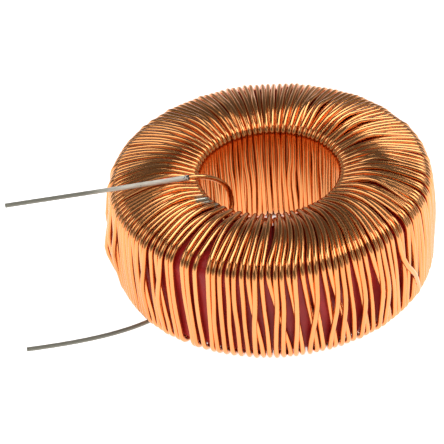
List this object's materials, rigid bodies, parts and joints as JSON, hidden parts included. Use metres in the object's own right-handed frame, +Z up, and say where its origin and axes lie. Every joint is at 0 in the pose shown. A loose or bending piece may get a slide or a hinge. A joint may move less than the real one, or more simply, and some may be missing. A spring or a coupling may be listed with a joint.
{
  "type": "toroidal inductor",
  "caption": "Coated powder ring wound all round with enamelled copper wire in a single layer, with two tinned leads leaving on one side.",
  "frame": {"origin": "where the ring's axis meets the surface that the part rests on", "axes": "+Z up along the ring's axis; both leads leave towards -X; +Y is the side away from the lower lead"},
  "size_m": [0.0443, 0.0344, 0.0139],
  "materials": {
    "powder_iron": "matt pressed iron powder",
    "red_coating": "glossy baked coating, deep red",
    "enamelled_wire": "copper under clear amber enamel, glossy",
    "tinned_wire": "tinned with solder, slightly dull"
  },
  "bodies": {
    "root": {"core": "powder_iron", "core_coating": "red_coating", "winding": "enamelled_wire", "upper_lead": "tinned_wire", "lower_lead": "tinned_wire"}
  },
  "joints": []
}
